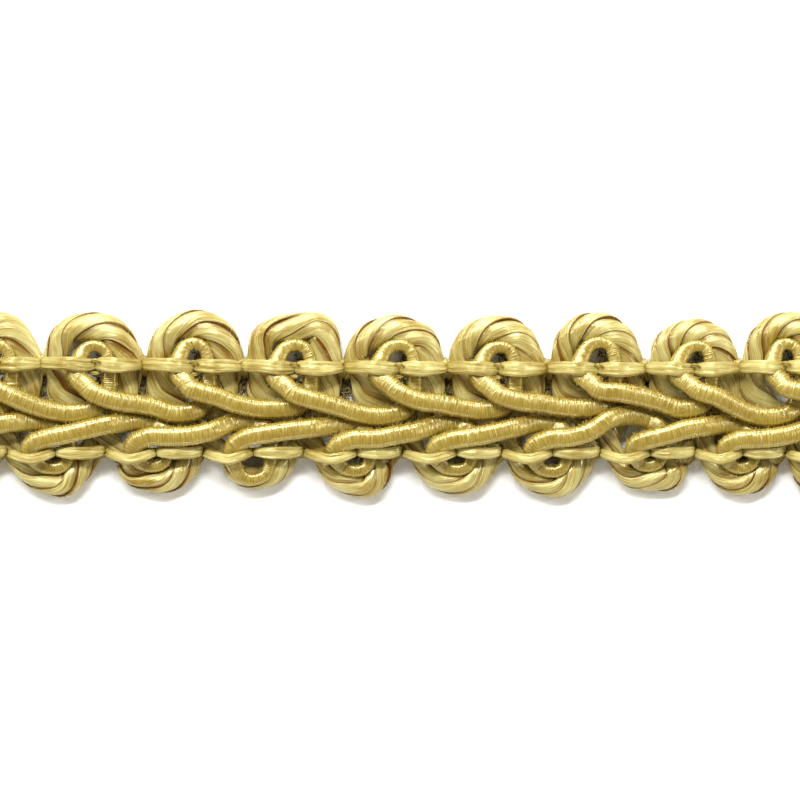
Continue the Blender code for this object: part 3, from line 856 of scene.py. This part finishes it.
def addThread(name, node, routes, seed, back=False):
    rng = np.random.default_rng(seed)
    ringStep = chainThread["backRingStep" if back else "ringStep"]
    bm = bmesh.new()
    for route in routes:
        rings = max(6, int(route[0][-1] / ringStep))
        run = np.linspace(0, route[0][-1], rings + 1)
        spot = alongRoute(route, run)
        heading, side, up = routeAxes(route, run, 0.04)
        waves = drawWaves(rng, (5, 7, 9, 11, 12), run, 1.2, 1.0)
        wobble = chainThread["wobble"] * wander(rng, run, 0.5)

        def place(ring, turn):
            angle = math.tau * turn - math.pi / 2
            ridge = sumWaves(waves, angle, ring) / len(waves)
            across, above = squared(np.cos(angle), 0.8), squared(np.sin(angle), 0.8)
            wide = across * spot[ring, 3] * (1 + chainThread["filaments"] * ridge) + wobble[ring]
            tall = above * (spot[ring, 4] + 0.5 * chainThread["filaments"] * ridge)
            return spot[ring, :3] + side[ring] * wide[:, None] + up[ring] * tall[:, None]

        # painted shade near both ends of each front bar, where the thread dives into its knot; the back threads
        # get none
        toEnd = np.minimum(run, route[0][-1] - run)
        crease = np.zeros(len(run)) if back else np.clip(1.3 - toEnd / chainThread["knotShadeReach"], 0, 1)
        rollTube(bm, rings, chainThread["sides"], place, route[0][-1], crease)
    return finishPiece(name, bm, chainSatin, node)


# The thread's own turns at a pinch: half width, then pixels right and down from the pinch, and height in mm.
# Thin arcs lie over and under an eye, and a gap has two thin legs with two broad ones lower down.
eyeTies = [
    (0.075, [(-5, 0.5, 2.10), (-2.5, -3.4, 2.36), (1.5, -3.6, 2.44), (5, -0.4, 2.42)]),
    (0.150, [(-7, 7.0, 1.95), (-3, 9.6, 1.90), (2, 9.4, 1.80), (5, 6.0, 1.75)]),
    (0.110, [(-3, 10.5, 1.45), (1, 11.6, 1.45), (6, 10.4, 1.40), (10, 7.0, 1.35)]),
]
gapTies = [
    (0.110, [(-4.4, -4.6, 1.20), (-3.6, -2.0, 1.50), (-3.8, 2.0, 1.50), (-4.6, 5.6, 1.20)]),
    (0.110, [(5.2, -2.0, 1.40), (2.2, -6.6, 1.56), (1.8, -2.0, 1.50), (3.0, 5.0, 1.15)]),
    (0.250, [(-2.5, -7.0, 0.25), (-2.5, -4.0, 0.85), (-2.2, 2.0, 1.10), (-3.0, 7.0, 0.75), (-4.0, 10.0, 0.25)]),
    (0.250, [(2.8, -6.0, 0.25), (2.6, -3.0, 0.95), (2.2, 3.0, 1.05), (3.0, 8.0, 0.70), (4.5, 11.0, 0.25)]),
]


def tieRoutes(pinches, lineY):
    routes = []
    for k, x in enumerate(pinches[1:-1]):
        y = np.interp(x, *zip(*lineY))
        for half, arc in gapTies if k % 2 else eyeTies:
            rows = [(*fromPhoto(x + right, y + down), z, half, half * 0.9) for right, down, z in arc]
            routes.append(layRoute(rows, 8))
    return routes


def backRoutes(pinches, lineY):
    rows = []
    reach, thick = chainThread["backHumpReach"], (chainThread["backHalfWidth"], chainThread["backHalfHeight"])
    hump = [(-reach, 0), (0, chainThread["backHump"]), (reach, 0)]
    for k, x in enumerate(pinches):
        y = np.interp(x, *zip(*lineY))
        for step, lift in hump if 0 < k < len(pinches) - 1 else [(0, 0)]:
            rows.append((*fromPhoto(x + step, y), chainThread["backZ"] + lift, *thick))
    return [layRoute(rows, 8)]


upperBars = barRoutes(upperPinches, upperLineY, intoEye, outOfEye, True)
lowerBars = barRoutes(lowerPinches, lowerLineY, lowerIntoEye, lowerOutOfEye, False)
upperTies = tieRoutes(upperPinches, upperLineY)
upperBack = backRoutes(upperPinches, upperLineY)
lowerBack = backRoutes([leftCut, *lowerPinches], lowerLineY)
upperStitches = addThread("upper_stitches", "chain_upper_front", upperBars + upperTies, 51)
lowerStitches = addThread("lower_stitches", "chain_lower_front", lowerBars, 52)
addThread("upper_back_stitches", "chain_upper_back", upperBack, 53, back=True)
addThread("lower_back_stitches", "chain_lower_back", lowerBack, 54, back=True)


# Stray filaments, lying over the yarns and standing off their edges

strays = {
    "lying": 70,
    "lyingX": (-31, 31),
    "lyingY": (-6.2, 6.2),
    "clearOfGimp": 2.2,        # none lie nearer to the middle than this
    "lyingLength": (0.4, 1.9),
    "lyingLift": (0.0, 0.14),
    "edge": 420,
    "edgeLength": (0.3, 1.1),
    "edgeLift": (0.0, 0.2),
    "radius": 0.010,
    "steps": 7,
    "bend": 0.14,              # radians a step
    "bendUneven": 0.06,
    "drop": 0.12,              # the most that one comes down in a step
    "tuftLength": (0.10, 0.28),
    "tuftRadius": 0.034,
    "tuftShare": (0.12, 0.9),  # everywhere, and more of them the more they point to the upper scallops
    "batch": 100,              # tufts put into one mesh before they join the rest
    "light": (0.78, 0.68, 0.32),
    "dark": (0.46, 0.33, 0.08),
}


def strayMaterial(name, look):
    material = bpy.data.materials.new(name)
    material.use_nodes = True
    tree = material.node_tree
    shader = tree.nodes["Principled BSDF"]
    where = addNode(tree, "ShaderNodeTexCoord").outputs["Object"]
    tone = noise(tree, where, 900.0, 2.0)
    colour = blendColour(tree, spread(tree, tone, 0.4, 0.6), look["dark"], look["light"])
    tree.links.new(colour, shader.inputs["Base Color"])
    tree.links.new(spread(tree, noise(tree, where, 2500.0), 0.3, 0.7, 0.35, 0.55), shader.inputs["Roughness"])
    return material


# The height of the yarns over a place, in mm, and 0 where the surface below shows
def heightOver(trees, x, y):
    high = 0.0
    for tree in trees:
        hit = tree.ray_cast(Vector(((x + shiftX) * mm, (y + shiftY) * mm, 0.01)), Vector((0, 0, -1)))[0]
        high = max(high, hit.z / mm) if hit else high
    return high


# One filament: it runs on over the yarns from a place, bends as it goes and may stand a little off them
def strayRow(rng, trees, x, y, turn, length, lift):
    rows = []
    bend = rng.normal(0, strays["bend"])
    high = heightOver(trees, x, y)
    for k in range(strays["steps"]):
        under = heightOver(trees, x, y)
        high = max(under, high - strays["drop"]) + strays["radius"]
        rows.append((x, y, high + lift * math.sin(math.pi * k / (strays["steps"] - 1)), 0))
        turn += bend + rng.normal(0, strays["bendUneven"])
        x += math.cos(turn) * length / strays["steps"]
        y += math.sin(turn) * length / strays["steps"]
    return rows


def rollFilament(bm, rows, count, radius):
    route = layRoute(rows, 2)
    run = np.linspace(0, route[0][-1], count)
    spot = alongRoute(route, run)
    heading, side, up = routeAxes(route, run)

    def place(ring, turn):
        angle = math.tau * turn
        thin = radius * (1 - 0.6 * ring / count)
        level, rise = thin * np.cos(angle), thin * np.sin(angle)
        return spot[ring, :3] + side[ring] * level[:, None] + up[ring] * rise[:, None]

    rollTube(bm, count - 1, 3, place, route[0][-1])


def addStrays(name, pieces, tufts, seed):
    rng = np.random.default_rng(seed)
    trees = []
    for piece in pieces:
        corners = [vertex.co for vertex in piece.data.vertices]
        trees.append(BVHTree.FromPolygons(corners, [face.vertices[:] for face in piece.data.polygons]))
    bm = bmesh.new()
    found = []
    while len(found) < strays["lying"]:
        x, y = rng.uniform(*strays["lyingX"]), rng.uniform(*strays["lyingY"])
        if abs(y) > strays["clearOfGimp"] and heightOver(trees, x, y) > 0.6:
            turn = rng.uniform(0, math.tau)
            length, lift = rng.uniform(*strays["lyingLength"]), rng.uniform(*strays["lyingLift"])
            found.append(strayRow(rng, trees, x, y, turn, length, lift))
    for where in rng.uniform(1, cordRoute[0][-1] - 1, strays["edge"]):
        spot = alongRoute(cordRoute, np.array([where]))[0]
        heading, side, up = routeAxes(cordRoute, np.array([where]))
        x, y = spot[:2] - side[0, :2] * spot[3] * rng.uniform(0.5, 0.85)
        turn = math.atan2(heading[0, 1], heading[0, 0]) - rng.uniform(0.2, 1.5)
        length, lift = rng.uniform(*strays["edgeLength"]), rng.uniform(*strays["edgeLift"])
        found.append(strayRow(rng, trees, x, y, turn, length, lift))
    for rows in found:
        rollFilament(bm, rows, 2 * strays["steps"], strays["radius"])
    least, more = strays["tuftShare"]
    chosen = []
    for foot, away in tufts:
        if away[2] > -0.2 and rng.uniform() < least + more * max(away[1], 0):      # none under the gimp
            chosen.append((foot, away))
    for start in range(0, len(chosen), strays["batch"]):
        batch = bmesh.new()
        for foot, away in chosen[start:start + strays["batch"]]:
            size = rng.uniform(*strays["tuftLength"])
            middle = (foot + np.array([shiftX, shiftY, 0]) + away * size * 0.35) * mm
            turn = Vector(away).to_track_quat("Z", "Y").to_matrix().to_4x4()
            bmesh.ops.create_cone(
                batch, segments=3, radius1=strays["tuftRadius"] * mm, radius2=0.001 * mm, depth=size * mm,
                matrix=Matrix.Translation(middle) @ turn,
            )
        part = bpy.data.meshes.new("fuzz")
        batch.to_mesh(part)
        batch.free()
        bm.from_mesh(part)
        bpy.data.meshes.remove(part)
    return finishPiece(name, bm, strayMaterial("stray_filaments", strays), None)


# Dark filaments put deep in the gaps between the scallops and in the small openings under the upper eyes:
# painted shade where only shadow lies
gapShadeFibres = {
    "inGap": 84,
    "inOpening": 30,
    # pixels right of the pinch and rows of the photograph; in an opening three fibres take turns
    "gapSpread": 6,
    "gapDown": (374, 398),
    "openingRight": (0, 8),
    "openingDown": [(350, 360), (376, 384), (376, 384)],
    "height": (0.10, 0.40),
    "steps": 4,
    "gapStep": (0.10, 0.22),
    "openingStep": 0.07,
    "radius": 0.06,
    # tones of the painted shade
    "light": (0.36, 0.29, 0.13),
    "dark": (0.22, 0.17, 0.065),
}


def addGapShadeFibres(name, seed):
    rng = np.random.default_rng(seed)
    bm = bmesh.new()
    for k, pinch in enumerate(upperPinches[1:-1]):
        gap = k % 2 == 1
        for number in range(gapShadeFibres["inGap" if gap else "inOpening"]):
            if gap:
                right = rng.normal(0, gapShadeFibres["gapSpread"])
                x, y = fromPhoto(pinch + right, rng.uniform(*gapShadeFibres["gapDown"]))
            else:
                right = rng.uniform(*gapShadeFibres["openingRight"])
                x, y = fromPhoto(pinch + right, rng.uniform(*gapShadeFibres["openingDown"][number % 3]))
            turn, bend = rng.normal(-math.pi / 2, 0.8), rng.normal(0, 0.5)
            size = rng.uniform(*gapShadeFibres["gapStep"]) if gap else gapShadeFibres["openingStep"]
            low = rng.uniform(*gapShadeFibres["height"])
            rows = [(x, y, low, 0)]
            for step in range(gapShadeFibres["steps"]):
                x, y = x + size * math.cos(turn), y + size * math.sin(turn)
                turn += bend
                rows.append((x, y, low, 0))
            rollFilament(bm, rows, gapShadeFibres["steps"] + 1, gapShadeFibres["radius"])
    return finishPiece(name, bm, strayMaterial("gap_shade_filaments", gapShadeFibres), None)


yarns = [gimpUpper, gimpLower, *strands, upperStitches, lowerStitches]
addStrays("stray_fibres", yarns, upperTufts + lowerTufts, 71)
addGapShadeFibres("gap_shade_fibres", 72)
